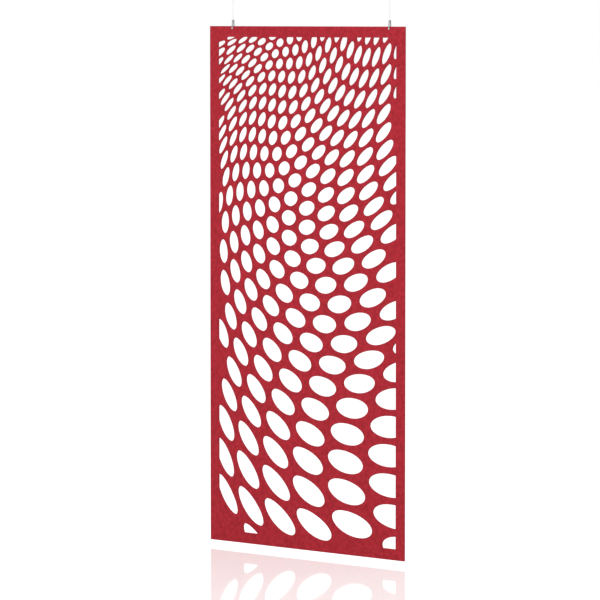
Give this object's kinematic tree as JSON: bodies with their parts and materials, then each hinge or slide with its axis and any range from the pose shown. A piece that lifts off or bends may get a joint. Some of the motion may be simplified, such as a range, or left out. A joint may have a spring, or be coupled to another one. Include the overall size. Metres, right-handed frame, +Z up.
{
  "type": "hanging room divider",
  "caption": "Flat felt room divider cut through with a stretched lattice of ovals, hung by its top edge on thin steel cables from small round ceiling fittings.",
  "frame": {"origin": "in the ceiling plane, straight above the middle of the sheet's top edge", "axes": "+X along the sheet towards its right end, -Y out of its front face, +Z up"},
  "size_m": [1.2, 0.02, 2.579],
  "materials": {
    "felt": "matte pressed felt, dyed red through",
    "steel": "satin",
    "bright_steel": "bright plated",
    "cable_steel": "bright drawn wire",
    "nickel": "satin nickel"
  },
  "bodies": {
    "ceiling": {"left_ceiling_base": "nickel", "left_ceiling_screw": "bright_steel", "left_ceiling_cap": "nickel", "right_ceiling_base": "nickel", "right_ceiling_screw": "bright_steel", "right_ceiling_cap": "nickel"},
    "left_top_ball": {"left_upper_ball": "bright_steel"},
    "left_cable": {"left_cable": "cable_steel"},
    "left_low_ball": {"left_lower_ball": "bright_steel"},
    "right_top_ball": {"right_upper_ball": "bright_steel"},
    "right_cable": {"right_cable": "cable_steel", "right_lower_ball": "bright_steel"},
    "panel": {"felt_panel": "felt", "left_strap": "steel", "left_post": "steel", "left_post_screw": "steel", "right_strap": "steel", "right_post": "steel", "right_post_screw": "steel"}
  },
  "joints": [
    {"name": "swing", "type": "hinge", "parent": "ceiling", "child": "left_top_ball", "pos_m": [-0.456, 0, -0.01897], "axis": [1, 0, 0], "range_deg": [-12, 12]},
    {"name": "sway", "type": "hinge", "parent": "left_top_ball", "child": "left_cable", "pos_m": [-0.456, 0, -0.01897], "axis": [0, 1, 0], "range_deg": [-6, 6]},
    {"name": "level", "type": "hinge", "parent": "left_cable", "child": "left_low_ball", "pos_m": [-0.456, 0, -0.12958], "axis": [0, 1, 0], "range_deg": [-6, 6]},
    {"name": "tilt", "type": "hinge", "parent": "left_low_ball", "child": "panel", "pos_m": [-0.456, 0, -0.12958], "axis": [1, 0, 0], "range_deg": [-12, 12]},
    {"name": "right_swing", "type": "hinge", "parent": "ceiling", "child": "right_top_ball", "pos_m": [0.508, 0, -0.01897], "axis": [1, 0, 0], "range_deg": [-12, 12]},
    {"name": "right_sway", "type": "hinge", "parent": "right_top_ball", "child": "right_cable", "pos_m": [0.508, 0, -0.01897], "axis": [0, 1, 0], "range_deg": [-6, 6]}
  ],
  "couplings": [
    {"joint": "level", "follows": "sway", "ratio": -1},
    {"joint": "right_swing", "follows": "swing", "ratio": 1},
    {"joint": "right_sway", "follows": "sway", "ratio": 1}
  ]
}
